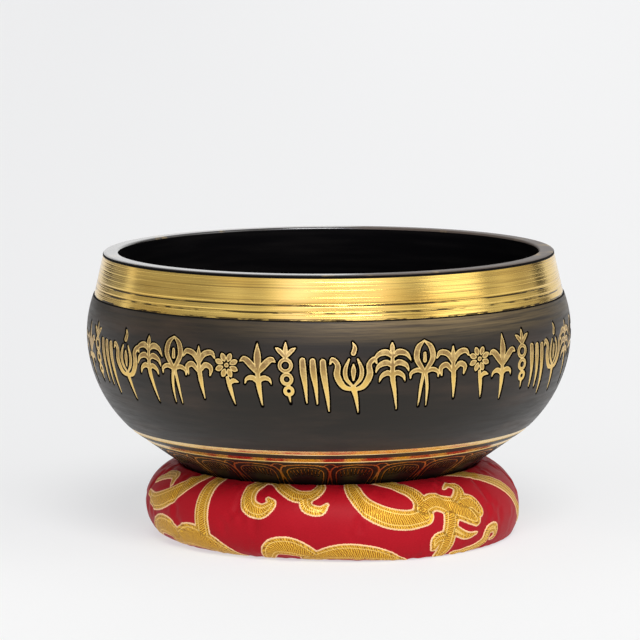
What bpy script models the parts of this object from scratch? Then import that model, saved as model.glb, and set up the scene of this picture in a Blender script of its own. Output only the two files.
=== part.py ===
"""A turned metal singing bowl resting on a ring cushion of sewn cloth.

Blender 4.5 script. Metres, +Z up. The origin is on the bowl's axis, on the surface that the cushion rests on.
Each object is one piece as it comes off a workbench: the bowl, the cushion's cover, its filling, and the two
threads that sew the cover shut.
"""

from math import acos, asin, atan2, cos, hypot, pi, radians, sin, tan

import bmesh
import bpy
from mathutils import Vector

SEGMENTS = 60  # facets round the axis, shared by the bowl and the cushion so that they nest
GAP = 0.0003  # left between neighbouring pieces

# Bowl, from the rim down
RIM_TOP_Z = 0.1028
RIM_OUTER_R = 0.0814
RIM_WIDTH = 0.0055
RIM_ROUND = 0.0008
BAND_BOTTOM_R = 0.0850
BAND_BOTTOM_Z = 0.0875
BELLY_R = 0.0875
BELLY_Z = 0.0736
BELLY_ARC_R = 0.0460
BELLY_ARC_TURN = radians(48)
SHOULDER_ARC_R = 0.0080
CONE_SLOPE = radians(35.7)  # of the underside, from the horizontal
FOOT_ARC_R = 0.0080
FOOT_Z = 0.0175
WALL = 0.0033

# Cushion
CUSHION_R = 0.0673
WIDEST_Z = 0.0100
CREST_R = 0.0520
SEAT_OUTER_R = 0.0550  # where the bowl's underside leaves the cloth
FLOOR_OUTER_R = 0.0600
FLOOR_INNER_R = 0.0290
HOLE_R = 0.0220
COVER_THICKNESS = 0.0008

# Seams of the cover
SEAM_HALF_GAP = 0.0012  # from the seam's middle to the cloth's edge
THREAD_R = 0.0003
STITCH_SWING = 0.0006  # how far the thread zigzags to each side
CLOSING_STITCHES = 36
END_STITCH_PITCH = 0.0036

# Where the arcs of the bowl's outline have their centres. An arc meets the cone at CONE_ANGLE.
CONE_ANGLE = CONE_SLOPE - pi / 2
BELLY_CENTRE = Vector((BELLY_R - BELLY_ARC_R, BELLY_Z))
TO_SHOULDER = Vector((cos(BELLY_ARC_TURN), -sin(BELLY_ARC_TURN)))
SHOULDER_CENTRE = BELLY_CENTRE + (BELLY_ARC_R - SHOULDER_ARC_R) * TO_SHOULDER
CONE_TOP = SHOULDER_CENTRE + SHOULDER_ARC_R * Vector((cos(CONE_ANGLE), sin(CONE_ANGLE)))
CONE_END_Z = FOOT_Z + FOOT_ARC_R * (1 - cos(CONE_SLOPE))
CONE_END_R = CONE_TOP.x - (CONE_TOP.y - CONE_END_Z) / tan(CONE_SLOPE)
FOOT_CENTRE = Vector((CONE_END_R - FOOT_ARC_R * sin(CONE_SLOPE), FOOT_Z + FOOT_ARC_R))


def arc(centre, reach_r, reach_z, start, end, steps):
    """Points (r, z) along an elliptic arc, angles from the +r direction, both ends included."""
    angles = [start + (end - start) * i / steps for i in range(steps + 1)]
    return [(centre[0] + reach_r * cos(a), centre[1] + reach_z * sin(a)) for a in angles]


def offset(path, distance):
    """The path moved to its right, looking along it."""
    rights = []
    for (r0, z0), (r1, z1) in zip(path, path[1:]):
        rights.append(Vector((z1 - z0, r0 - r1)).normalized())
    corners = zip(rights[:1] + rights, rights + rights[-1:])
    return [tuple(Vector(p) + distance * (a + b) / (1 + a.dot(b))) for p, (a, b) in zip(path, corners)]


def foot_arc(gap):
    """The curve from the cone to the flat foot, or the same curve a gap below it."""
    radius = FOOT_ARC_R + gap
    return arc(FOOT_CENTRE, radius, radius, CONE_ANGLE, -pi / 2, 3)


def bowl_below_band():
    """The bowl's outer outline from the lower edge of its bright band to the edge of its flat foot."""
    rise = BAND_BOTTOM_Z - BELLY_Z
    run = BELLY_R - BAND_BOTTOM_R
    upper_r = (rise**2 + run**2) / (2 * run)
    upper = arc((BELLY_R - upper_r, BELLY_Z), upper_r, upper_r, atan2(rise, upper_r - run), 0, 3)
    belly = arc(BELLY_CENTRE, BELLY_ARC_R, BELLY_ARC_R, 0, -BELLY_ARC_TURN, 7)
    shoulder = arc(SHOULDER_CENTRE, SHOULDER_ARC_R, SHOULDER_ARC_R, -BELLY_ARC_TURN, CONE_ANGLE, 1)
    return upper + belly[1:] + shoulder[1:] + foot_arc(0)


def bowl_section():
    """The outline of the bowl's wall, from the foot's outer edge over the rim to the edge of the floor inside."""
    rim_centre = (RIM_OUTER_R - RIM_ROUND, RIM_TOP_Z - RIM_ROUND)
    lip_centre = (RIM_OUTER_R - RIM_WIDTH + RIM_ROUND, RIM_TOP_Z - RIM_ROUND)
    rim = arc(rim_centre, RIM_ROUND, RIM_ROUND, 0, pi / 2, 2)
    lip = arc(lip_centre, RIM_ROUND, RIM_ROUND, pi / 2, pi, 2)
    outside = bowl_below_band()
    inside = offset(outside, WALL)[1:-1] + [(outside[-1][0], FOOT_Z + WALL)]
    return outside[::-1] + rim + lip + inside


def cushion_section():
    """The cushion's outline as an open path from the seam in the hole, under the ring, up its outer side,
    and back over the seat that the bowl has pressed into it."""
    seat_z = FOOT_Z - GAP
    inner_reach = FLOOR_INNER_R - HOLE_R
    outer_reach = CUSHION_R - CREST_R
    seat_edge_z = CONE_TOP.y - (CONE_TOP.x - SEAT_OUTER_R) * tan(CONE_SLOPE) - GAP / cos(CONE_SLOPE)
    edge_turn = acos((SEAT_OUTER_R - CREST_R) / outer_reach)
    crest_reach = (seat_edge_z - WIDEST_Z) / sin(edge_turn)
    seam_below = asin(SEAM_HALF_GAP / WIDEST_Z)
    seam_above = asin(SEAM_HALF_GAP / (seat_z - WIDEST_Z))
    hole_centre = (FLOOR_INNER_R, WIDEST_Z)

    hole_low = arc(hole_centre, inner_reach, WIDEST_Z, pi + seam_below, 1.5 * pi, 3)
    outer_low = arc((FLOOR_OUTER_R, WIDEST_Z), CUSHION_R - FLOOR_OUTER_R, WIDEST_Z, -pi / 2, 0, 3)
    outer_high = arc((CREST_R, WIDEST_Z), outer_reach, crest_reach, 0, edge_turn, 5)
    hole_high = arc(hole_centre, inner_reach, seat_z - WIDEST_Z, pi / 2, pi - seam_above, 3)
    return hole_low + outer_low + outer_high[1:] + foot_arc(GAP) + hole_high


def ring_point(r, z, azimuth, sideways=0.0):
    """The point at radius r and height z at an azimuth, shifted sideways along the ring."""
    x = r * cos(azimuth) - sideways * sin(azimuth)
    y = r * sin(azimuth) + sideways * cos(azimuth)
    return Vector((x, y, z))


def spin(section, closed):
    """A section of (r, z) points swept round the axis."""
    shape = bmesh.new()
    verts = [shape.verts.new((r, 0, z)) for r, z in section]
    ends = verts[1:] + verts[:1] if closed else verts[1:]
    edges = [shape.edges.new(pair) for pair in zip(verts, ends)]
    bmesh.ops.spin(
        shape,
        geom=verts + edges,
        cent=(0, 0, 0),
        axis=(0, 0, 1),
        angle=2 * pi,
        steps=SEGMENTS,
        use_merge=True,
    )
    return shape


def add_object(name, data, material):
    data.materials.append(material)
    made = bpy.data.objects.new(name, data)
    bpy.context.scene.collection.objects.link(made)
    return made


def add_mesh(name, shape, material):
    mesh = bpy.data.meshes.new(name)
    bmesh.ops.recalc_face_normals(shape, faces=shape.faces)
    shape.to_mesh(mesh)
    shape.free()
    mesh.shade_smooth()
    mesh.set_sharp_from_angle(angle=radians(35))
    return add_object(name, mesh, material)


def add_bowl(material):
    """The wall, with a flat disc closing it below and another inside."""
    shape = spin(bowl_section(), closed=False)
    rims = [edge for edge in shape.edges if edge.is_boundary]
    bmesh.ops.holes_fill(shape, edges=rims, sides=SEGMENTS)
    add_mesh("bowl", shape, material)


def add_cushion_cover(material):
    """A strip of cloth rolled into a tube and bent into a ring. Its long edges face each other in the hole, and
    its short ends face each other across a slot."""
    cover = add_mesh("cushion_cover", spin(cushion_section(), closed=False), material)
    cloth = cover.modifiers.new("cloth", "SOLIDIFY")
    cloth.thickness = COVER_THICKNESS
    cloth.offset = -1
    cloth.use_even_offset = True
    slot = cover.modifiers.new("end seam", "BOOLEAN")
    slot.operation = "DIFFERENCE"
    slot.object = end_seam_cutter(material)


def end_seam_cutter(material):
    """An upright board through one side of the ring."""
    shape = bmesh.new()
    board = bmesh.ops.create_cube(shape, size=1)
    bmesh.ops.scale(shape, vec=(2 * SEAM_HALF_GAP, CUSHION_R, 4 * WIDEST_Z), verts=board["verts"])
    cutter = add_mesh("end_seam_cutter", shape, material)
    cutter.location = (0, 0.6 * CUSHION_R, WIDEST_Z)
    cutter.hide_render = True
    cutter.display_type = "WIRE"
    return cutter


def add_cushion_filling(material):
    """The wadding that fills the cover."""
    section = offset(cushion_section(), -COVER_THICKNESS - GAP)
    add_mesh("cushion_filling", spin(section, closed=True), material)


def add_thread(name, points, closed, material):
    curve = bpy.data.curves.new(name, "CURVE")
    curve.dimensions = "3D"
    curve.bevel_depth = THREAD_R
    curve.bevel_resolution = 1
    curve.use_fill_caps = not closed
    spline = curve.splines.new("POLY")
    spline.points.add(len(points) - 1)
    for point, place in zip(spline.points, points):
        point.co = (*place, 1)
    spline.use_cyclic_u = closed
    add_object(name, curve, material)


def swing(i):
    """How far point i of a zigzag is off its seam."""
    return STITCH_SWING if i % 2 else -STITCH_SWING


def closing_seam_points():
    """The zigzag between the cloth's two long edges, round the hole."""
    count = 2 * CLOSING_STITCHES
    r = HOLE_R + 0.5 * COVER_THICKNESS
    return [ring_point(r, WIDEST_Z + swing(i), 2 * pi * i / count) for i in range(count)]


def end_seam_points():
    """The zigzag between the cloth's two short ends, round the tube."""
    path = offset(cushion_section(), -0.5 * COVER_THICKNESS)
    spaced = []
    to_next = END_STITCH_PITCH
    for (r0, z0), (r1, z1) in zip(path, path[1:]):
        length = hypot(r1 - r0, z1 - z0)
        while to_next < length:
            share = to_next / length
            spaced.append((r0 + (r1 - r0) * share, z0 + (z1 - z0) * share))
            to_next += 0.5 * END_STITCH_PITCH
        to_next -= length
    return [ring_point(r, z, pi / 2, swing(i)) for i, (r, z) in enumerate(spaced)]


def paint(name, colour, roughness, metallic=0.0):
    material = bpy.data.materials.new(name)
    material.use_nodes = True
    shader = material.node_tree.nodes["Principled BSDF"]
    shader.inputs["Base Color"].default_value = (*colour, 1)
    shader.inputs["Roughness"].default_value = roughness
    shader.inputs["Metallic"].default_value = metallic
    return material


def main():
    for old in list(bpy.data.objects):
        bpy.data.objects.remove(old)
    red_thread = paint("red_thread", (0.35, 0.01, 0.015), 0.8)
    add_bowl(paint("lacquered_brass", (0.045, 0.038, 0.033), 0.35, metallic=0.6))
    add_cushion_cover(paint("red_brocade", (0.45, 0.012, 0.02), 0.7))
    add_cushion_filling(paint("cotton_wadding", (0.8, 0.76, 0.68), 0.95))
    add_thread("closing_seam_thread", closing_seam_points(), True, red_thread)
    add_thread("end_seam_thread", end_seam_points(), False, red_thread)


main()
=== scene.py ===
"""Looks of a singing bowl on its ring cushion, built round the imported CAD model.

The bowl is turned at a fine pitch, with its ornament cut into two relief sleeves in shallow channels of the
wall. The cushion's cover is a cloth simulation, woven with a scroll brocade. Lengths are in metres, except
in the ornament drawings, which are in millimetres on the unrolled surface.
"""

from math import acos, atan2, cos, pi, radians, sin, tan

import bpy
import numpy as np
from mathutils import Matrix, Vector

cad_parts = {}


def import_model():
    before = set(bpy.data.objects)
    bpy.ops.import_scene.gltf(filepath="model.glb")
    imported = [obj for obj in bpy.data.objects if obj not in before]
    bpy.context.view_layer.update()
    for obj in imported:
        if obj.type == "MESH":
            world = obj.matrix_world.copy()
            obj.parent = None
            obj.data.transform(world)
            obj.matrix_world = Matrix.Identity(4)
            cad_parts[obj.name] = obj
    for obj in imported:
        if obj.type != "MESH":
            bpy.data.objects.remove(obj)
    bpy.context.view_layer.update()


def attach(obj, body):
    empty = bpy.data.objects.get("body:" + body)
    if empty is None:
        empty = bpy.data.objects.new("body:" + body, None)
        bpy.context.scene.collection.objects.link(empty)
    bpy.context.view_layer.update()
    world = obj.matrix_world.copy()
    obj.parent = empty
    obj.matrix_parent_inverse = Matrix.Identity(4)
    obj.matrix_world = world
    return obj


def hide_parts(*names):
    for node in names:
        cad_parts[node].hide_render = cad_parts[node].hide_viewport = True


MM = 0.001

# Bowl outline, the CAD model's own
RIM_TOP_Z = 0.1028
RIM_OUTER_R = 0.0814
RIM_WIDTH = 0.0055
RIM_ROUND = 0.0008
BAND_BOTTOM_R = 0.085
BAND_BOTTOM_Z = 0.0875
BELLY_R = 0.0875
BELLY_Z = 0.0736
BELLY_ARC_R = 0.046
BELLY_ARC_TURN = radians(48)
SHOULDER_ARC_R = 0.008
CONE_SLOPE = radians(35.7)
CONE_FACES = CONE_SLOPE - pi / 2  # the direction of the cone's outward normal
FOOT_ARC_R = 0.008
FOOT_Z = 0.0175
WALL = 0.0033

# Bowl details
BOWL_COLUMNS = 336
WALL_PITCH = 0.001
BAND_PITCH = 0.00012
RIM_WORN = 0.0012  # how far in from the rim's outer edge its top starts to fall away
STRIP_HEIGHT = 0.0004  # black lacquer that laps over the band's two edges, made near black there to paint the shade line at each step
BAND_STEP = 0.00035  # how far the bare band lies behind the lacquer
TURNED_GROOVES = (  # down from the band's top, half width, depth, all in mm
    (1.0, 0.1, 0.06),
    (2.3, 0.08, 0.04),
    (3.9, 0.1, 0.05),
    (5.2, 0.08, 0.03),
    (6.4, 0.1, 0.05),
    (8.7, 0.28, 0.22),
    (9.6, 0.1, 0.06),
    (11.3, 0.24, 0.18),
    (12.6, 0.08, 0.05),
)
DARKENED_GROOVES = ((0.09256, 0.7), (0.09004, 1.0), (0.0878, 1.6))  # height, how broken the dark colour in it is; in the lowest, at the band's lower edge, it is painted shade
FRIEZE_HEIGHTS = (0.0825, 0.0548)
FRIEZE_GRID = (1380, 0.00041)  # columns, pitch of the rows
RINGS = ((0.0407, 0.0024), (0.0374, 0.0028))  # top, width
RING_DEPTH = 0.00015
RING_BEVEL = 0.00008
LOTUS_HEIGHTS = (0.035, 0.0225)
LOTUS_GRID = (1200, 0.00034)
SLEEVE_DEPTH = 0.00045
CHANNEL_DEPTH = 0.0006

# Cushion outline, the CAD model's own
CUSHION_R = 0.0673
WIDEST_Z = 0.01
CREST_R = 0.052
SEAT_OUTER_R = 0.055
FLOOR_OUTER_R = 0.06
FLOOR_INNER_R = 0.029
HOLE_R = 0.022
GAP = 0.0003

# Cushion details
CUSHION_COLUMNS = 860
COARSE_ROWS, COARSE_COLUMNS = 44, 168  # the simulated cloth
CLOTH_FRAMES = 18
CLOTH_SETTINGS = {
    "quality": 6,
    "mass": 0.02,
    "tension_stiffness": 12,
    "compression_stiffness": 12,
    "shear_stiffness": 4,
    "bending_stiffness": 0.02,
    "use_pressure": True,
    "uniform_pressure_force": 1000,
    "shrink_min": -0.025,
    "vertex_group_mass": "held",
    "pin_stiffness": 1.0,
}
CLOTH_SLACK = 0.001  # how far inside its final outline the cloth starts
CLOTH_REACH = 0.0008  # how far from that outline it may settle
FULL_AZIMUTH = radians(-22)  # where round the axis the filling has gathered
FULL_LOW = 0.0074  # how far the cloth reaches out there at its lower edge
FULL_WIDE = 0.0018  # and at its widest circle
FULL_FALL = 0.0055
END_SEAM_AZIMUTH = 0.5 * pi
SEAM_DEPTH = 0.0011
SEAM_HALF_WIDTH = 0.0016

# Camera
CAMERA_DISTANCE = 1.4
CAMERA_Z = 0.2583
CAMERA_X = -0.0032
CAMERA_PITCH = radians(7.38)
CAMERA_ROLL = radians(-0.28)
CAMERA_LENS = 219.3


# ---- outlines


def arc(centre, reach_r, reach_z, start, end, spacing=0.0004):
    """Points (r, z) along an elliptic arc, angles from the +r direction, both ends included."""
    steps = max(2, round(abs(end - start) * max(reach_r, reach_z) / spacing))
    angles = np.linspace(start, end, steps + 1)
    return np.column_stack([centre[0] + reach_r * np.cos(angles), centre[1] + reach_z * np.sin(angles)])


def join(*paths):
    """Paths end to end, with each repeated joint dropped."""
    points = np.vstack(paths)
    step = np.linalg.norm(np.diff(points, axis=0), axis=1)
    return points[np.concatenate([[True], step > 1e-7])]


def run_lengths(path):
    """Distance along a path at each of its points."""
    return np.concatenate([[0], np.cumsum(np.linalg.norm(np.diff(path, axis=0), axis=1))])


def points_at(path, lengths):
    """(points, unit normals to the path's left) at these distances along it."""
    known = run_lengths(path)

    def place(at):
        return np.column_stack([np.interp(at, known, path[:, i]) for i in (0, 1)])

    reach = 0.0003
    along = place(np.clip(lengths + reach, 0, known[-1])) - place(np.clip(lengths - reach, 0, known[-1]))
    along /= np.linalg.norm(along, axis=1)[:, None]
    return place(lengths), np.column_stack([-along[:, 1], along[:, 0]])


def length_at_height(path, z):
    """Distance along a falling path at which it reaches height z."""
    return float(np.interp(-z, -path[:, 1], run_lengths(path)))


def wall_centres():
    """Centres of the belly's, the shoulder's and the foot's arcs, and the top of the straight cone."""
    belly = Vector((BELLY_R - BELLY_ARC_R, BELLY_Z))
    down = Vector((cos(BELLY_ARC_TURN), -sin(BELLY_ARC_TURN)))
    shoulder = belly + (BELLY_ARC_R - SHOULDER_ARC_R) * down
    cone_top = shoulder + SHOULDER_ARC_R * Vector((cos(CONE_FACES), sin(CONE_FACES)))
    cone_end_z = FOOT_Z + FOOT_ARC_R * (1 - cos(CONE_SLOPE))
    cone_end_r = cone_top.x - (cone_top.y - cone_end_z) / tan(CONE_SLOPE)
    foot = Vector((cone_end_r - FOOT_ARC_R * sin(CONE_SLOPE), FOOT_Z + FOOT_ARC_R))
    return belly, shoulder, foot, cone_top


def bowl_wall():
    """The bowl's outside from the bright band's lower edge to the flat foot's edge."""
    rise = BAND_BOTTOM_Z - BELLY_Z
    run = BELLY_R - BAND_BOTTOM_R
    upper_r = (rise**2 + run**2) / (2 * run)
    belly, shoulder, foot, _ = wall_centres()
    return join(
        arc((BELLY_R - upper_r, BELLY_Z), upper_r, upper_r, atan2(rise, upper_r - run), 0),
        arc(belly, BELLY_ARC_R, BELLY_ARC_R, 0, -BELLY_ARC_TURN),
        arc(shoulder, SHOULDER_ARC_R, SHOULDER_ARC_R, -BELLY_ARC_TURN, CONE_FACES),
        arc(foot, FOOT_ARC_R, FOOT_ARC_R, CONE_FACES, -pi / 2),
    )


# ---- meshes


def add_mesh(name, verts, faces, materials, face_material=None):
    mesh = bpy.data.meshes.new(name)
    mesh.from_pydata(verts, [], faces)
    for material in materials:
        mesh.materials.append(material)
    if face_material is not None:
        mesh.polygons.foreach_set("material_index", np.asarray(face_material, np.int32))
    mesh.shade_smooth()
    made = bpy.data.objects.new(name, mesh)
    bpy.context.scene.collection.objects.link(made)
    return made


def set_attribute(obj, name, values):
    made = obj.data.attributes.new(name, "FLOAT", "POINT")
    made.data.foreach_set("value", np.asarray(values, np.float32).ravel())


def ring_azimuths(columns):
    return np.arange(columns) * 2 * pi / columns


def ring_faces(rows, columns, closed_rows):
    """Quads over rows of points that run round the axis."""
    row = np.arange(rows if closed_rows else rows - 1)[:, None]
    here, above = row * columns, (row + 1) % rows * columns
    column = np.arange(columns)[None, :]
    beside = (column + 1) % columns
    corners = (here + column, here + beside, above + beside, above + column)
    return np.stack(corners, axis=-1).reshape(-1, 4)


def swept(sections_r, sections_z, azimuths):
    """Vertices of rings round the axis. Radii and heights have a row for each, and may vary along it."""
    r, z, turn = np.broadcast_arrays(sections_r, sections_z, azimuths[None, :])
    return np.stack([r * np.cos(turn), r * np.sin(turn), z], axis=-1).reshape(-1, 3)


def lathe(name, section, columns, materials, row_material):
    """A closed turned body. Its section starts and ends near the axis, and each strip has its material."""
    verts = swept(section[:, :1], section[:, 1:], ring_azimuths(columns))
    faces = ring_faces(len(section), columns, False)[:, ::-1].tolist()
    slots = np.repeat(row_material, columns).tolist()
    last = (len(section) - 1) * columns
    faces += [list(range(columns)), list(range(last + columns - 1, last - 1, -1))]
    slots += [row_material[0], row_material[-1]]
    made = add_mesh(name, verts, faces, materials, slots)
    made.data.set_sharp_from_angle(angle=radians(40))
    return made


# ---- drawing on unrolled surfaces


FIELD_REACH = 1.6  # how far from a stroke its distance is measured
RIB_SLANT = 0.45


def smoothstep(low, high, value):
    t = np.clip((value - low) / (high - low), 0, 1)
    return t * t * (3 - 2 * t)


def between(a, b, c, d, t):
    """A smooth curve through four samples, at share t of the way from b to c."""
    return 0.5 * (2 * b + (c - a) * t + (2 * a - 5 * b + 4 * c - d) * t**2 + (3 * b - a - 3 * c + d) * t**3)


def chain(knots):
    """A stroke: a smooth line through (x, y, half width) knots."""
    p = np.array(knots, float)
    if len(p) < 3:
        return p
    ends = np.vstack([2 * p[0] - p[1], p, 2 * p[-1] - p[-2]])
    t = np.linspace(0, 1, 6, endpoint=False)[:, None]
    runs = [between(*four, t) for four in zip(ends, ends[1:], ends[2:], ends[3:])]
    return np.vstack([*runs, p[-1:]])


def chains(*lines):
    """A stroke through each line of knots."""
    return [chain(knots) for knots in lines]


def ring_stroke(x, y, radius, width):
    """A full circle round (x, y)."""
    angle = np.linspace(0, 2 * pi, 22)
    return np.column_stack([x + radius * np.cos(angle), y + radius * np.sin(angle), np.full(22, width)])


def moved(stroke, x=0.0, y=0.0, scale_x=1.0, scale_y=1.0):
    """A stroke scaled about the origin, then moved."""
    width_scale = (abs(scale_x) * abs(scale_y)) ** 0.5
    return stroke * (scale_x, scale_y, width_scale) + (x, y, 0)


def mirrored(axis, *lines):
    """A stroke through each line of knots, and its mirror image in the upright line x = axis."""
    strokes = chains(*lines)
    return strokes + [moved(s, x=2 * axis, scale_x=-1) for s in strokes]


def stroke_field(x, y, strokes, reach=FIELD_REACH):
    """(distance to the nearest stroke's edge, negative inside and cut off at reach; rib phase in mm, which
    grows along that stroke and slantwise across it) at points."""
    x, y = np.broadcast_arrays(x, y)
    shape = x.shape
    x, y = x.ravel(), y.ravel()
    distance = np.full(x.shape, reach)
    phase = np.zeros(x.shape)
    for stroke in strokes:
        margin = stroke[:, 2].max() + reach
        low = stroke[:, :2].min(0) - margin
        high = stroke[:, :2].max(0) + margin
        near = np.flatnonzero((x > low[0]) & (x < high[0]) & (y > low[1]) & (y < high[1]))
        if not len(near):
            continue
        px, py = x[near], y[near]
        run = 0.0
        for (ax, ay, aw), (bx, by, bw) in zip(stroke, stroke[1:]):
            ex, ey = bx - ax, by - ay
            length = max(np.hypot(ex, ey), 1e-5)
            t = np.clip(((px - ax) * ex + (py - ay) * ey) / length**2, 0, 1)
            off = np.hypot(px - ax - t * ex, py - ay - t * ey)
            found = off - aw - t * (bw - aw)
            better = found < distance[near]
            hit = near[better]
            distance[hit] = found[better]
            side = np.sign((px - ax) * ey - (py - ay) * ex)
            phase[hit] = run + t[better] * length + RIB_SLANT * (side * off)[better]
            run += length
    return distance.reshape(shape), phase.reshape(shape)


# ---- frieze ornament


def lotus_bud():
    """An open lotus with a flame above it."""
    petal = ((6.4, 16.6, 0.5), (3, 15.4, 0.95), (0.8, 11.6, 1.1), (1, 8, 0.9), (-0.8, 6, 0.7))
    sides = mirrored(
        6.4,
        (*petal, (-1.6, 7.6, 0.3)),
        ((6.2, 15.4, 0.4), (3.9, 12.6, 0.7), (3.6, 9.4, 0.7), (4.9, 6, 0.3)),
    )
    heart = ((6.4, 13.2, 0.35), (6.4, 10, 0.85), (6.4, 7.6, 0.2))
    flame = ((6.4, 4, 0.85), (6.9, 2.2, 0.7), (6.2, 0.3, 0.15))
    tail = ((6.4, 16, 1), (7.4, 19.4, 0.7), (8.4, 25.2, 0.2))
    return sides + chains(heart, flame, tail)


def fern():
    """A stem with three pairs of drooping leaflets under a bud."""
    leaflets = mirrored(
        6,
        ((6, 6.4, 0.3), (3.9, 4.5, 1.05), (1, 5.2, 0.8), (-0.8, 7.8, 0.15)),
        ((6, 9.6, 0.3), (4, 8, 1), (1.2, 9, 0.75), (0, 11.4, 0.15)),
        ((6, 12.9, 0.3), (4.4, 11.5, 0.9), (2.2, 12.6, 0.65), (1.4, 14.6, 0.15)),
    )
    bud = ((6, 5, 0.35), (6, 3, 0.85), (6, 1, 0.1))
    stem = ((6, 5, 0.55), (6.1, 13, 0.9), (7, 18, 0.65), (8.2, 24.8, 0.2))
    return leaflets + chains(bud, stem)


def seed_pod():
    """A pointed pod round a seed, with two tails."""
    sides = mirrored(
        4.6,
        ((4.6, 0.8, 0.3), (2.2, 3.2, 0.95), (1.7, 7.2, 1), (4.4, 11.6, 0.65)),
        ((4.4, 12, 0.5), (1.8, 11, 0.8), (-0.4, 12, 0.6), (-0.6, 13.8, 0.25)),
        ((4.2, 12, 0.6), (3.4, 17.4, 0.55), (3.1, 24.4, 0.2)),
    )
    return sides + chains(((4.6, 5.2, 0.55), (4.6, 7.8, 0.7)))


def spread_leaf():
    """Leaflets fanned over a stem."""
    sides = mirrored(
        5.2,
        ((5, 9.4, 0.4), (3.2, 6.2, 1), (0.2, 5.4, 0.85), (-1.2, 7.2, 0.3)),
        ((4.8, 12.2, 0.5), (2.6, 9.8, 0.95), (0.4, 10.8, 0.85), (0.8, 13.4, 0.3)),
    )
    middle = ((5.2, 9.8, 0.4), (5.2, 6.8, 0.9), (5.2, 3.4, 0.2))
    stem = ((5.2, 9.2, 0.7), (5.6, 14.4, 0.9), (6.4, 22, 0.2))
    return sides + chains(middle, stem)


def rosette():
    """An eight-petalled flower on a hanging stem with one leaf."""
    petals = []
    for degrees in range(22, 360, 45):
        dx, dy = cos(radians(degrees)), sin(radians(degrees))
        knots = ((1.7, 0.4), (3.1, 1), (4.4, 0.2))
        petals.append([(4.6 + reach * dx, 9 + reach * dy, width) for reach, width in knots])
    heart = ((4.6, 9, 0.8), (4.7, 9, 0.8))
    stem = ((4.8, 13.4, 0.6), (5.6, 17, 0.8), (6.8, 23.2, 0.2))
    leaf = ((5.2, 16.2, 0.3), (6.8, 14.4, 0.85), (9, 14.8, 0.15))
    return chains(*petals, heart, stem, leaf)


def trefoil():
    """Three petals that open over a stem with a pair of leaves."""
    sides = mirrored(
        4.8,
        ((4.8, 11.8, 0.45), (2.8, 9, 1.15), (0.2, 6.6, 1), (-1.6, 7.4, 0.2)),
        ((4.8, 15.2, 0.3), (3, 13.2, 0.9), (0.8, 13.6, 0.6), (0, 15.4, 0.15)),
    )
    middle = ((4.8, 11, 0.5), (4.8, 6, 1.3), (4.6, 0.8, 0.15))
    stem = ((4.8, 10.6, 0.7), (5, 15.4, 0.95), (5.8, 23.6, 0.2))
    return sides + chains(middle, stem)


def bead_spray():
    """A sprout over rings that get smaller as they hang."""
    sprout = mirrored(3.9, ((0.4, 2.4, 0.2), (1.8, 3.4, 0.75), (3.9, 5.6, 0.6)))
    middle = ((3.9, 5.4, 0.4), (3.9, 2.8, 0.75), (3.9, 0.4, 0.15))
    hanging = ((3.9, 8.4, 2), (4.3, 13.2, 1.7), (4.9, 17.4, 1.35))
    beads = [ring_stroke(x, y, radius, 0.62) for x, y, radius in hanging]
    return sprout + beads + chains(middle, ((5, 19.2, 0.5), (5.4, 22, 0.15)))


def drops():
    """Three hanging drops."""
    lines = []
    for x, top, end, lean in ((1, 6.4, 21.4, 1.3), (4.5, 6.6, 21.8, 1.5), (8, 6.8, 24.6, 2.1)):
        head = ((x, top, 1), (x + 0.3, top + 4, 1.1))
        lines.append((*head, (x + 0.7 * lean, end - 6, 0.7), (x + lean, end, 0.25)))
    return chains(*lines)


FRIEZE_UNIT = 91.63  # a sixth of the widest circle
FRIEZE_TOP = 1.6
FRIEZE_UNEVEN = (0.2, 0.2, 0.015)  # how much x, y and the height stray
FRIEZE_MOTIFS = (  # each motif and its left edge within a unit
    (lotus_bud, 1.8),
    (fern, 15.4),
    (seed_pod, 28.8),
    (spread_leaf, 39),
    (rosette, 50.6),
    (trefoil, 61.8),
    (bead_spray, 72.4),
    (drops, 81.4),
)


def frieze_strokes():
    """The whole ring's strokes, x in mm along the widest circle from the front."""
    rng = np.random.default_rng(11)
    strokes = []
    for unit in range(-3, 3):
        for motif, left in FRIEZE_MOTIFS:
            x, y, tall = rng.normal(0, FRIEZE_UNEVEN)
            x += unit * FRIEZE_UNIT + left
            strokes += [moved(s, x, FRIEZE_TOP + y, 1, 1 + tall) for s in motif()]
    return strokes


def draw_frieze(azimuth_from_front, down):
    """Distance to the frieze's strokes. The azimuth is counted from -Y, down is in mm."""
    turn = (azimuth_from_front + pi) % (2 * pi) - pi
    around = 2 * pi * BELLY_R / MM
    strokes = [moved(s, around * k) for s in frieze_strokes() for k in (-1, 0, 1)]
    return stroke_field(turn * BELLY_R / MM, down, strokes)[0]


def frieze_depth(distance):
    """Cut down round each stroke and a little less inside it, in mm."""
    return 0.2 * smoothstep(0.6, 0.05, distance) - 0.05 * smoothstep(-0.1, -0.8, distance)


# ---- lotus ornament

LOTUS_PETALS = 22
LOTUS_R = 62  # the petals' widest circle


def lotus_strokes():
    """One petal of the lotus under the bowl, and half of each neighbour, x in mm on LOTUS_R."""
    half = pi * LOTUS_R / LOTUS_PETALS
    outline = ((0.8, 21, 0.3), (0.97, 9, 0.32), (0.93, 4.4, 0.34), (0.7, 1.7, 0.34), (0, 0.7, 0.32))
    inner = ((0.58, 21, 0.2), (0.74, 10, 0.22), (0.7, 5.6, 0.24), (0.44, 3.4, 0.24), (0, 2.6, 0.22))
    lines = [[(half * share, y, width) for share, y, width in line] for line in (outline, inner)]
    for share in (0, 0.15, 0.3, 0.45, 0.6):
        x = half * share
        lines.append(((x, 3.9 + 2.4 * share, 0.2), (x * 0.84, 8.4 + 2 * share, 0.1)))
    tip = ((-2.6, 2.4, 0.26), (-1.2, 0.7, 0.28), (0, 0.3, 0.28), (1.2, 0.7, 0.28), (2.6, 2.4, 0.26))
    lines.append([(half + x, y, width) for x, y, width in tip])
    return mirrored(0, *lines)


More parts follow.
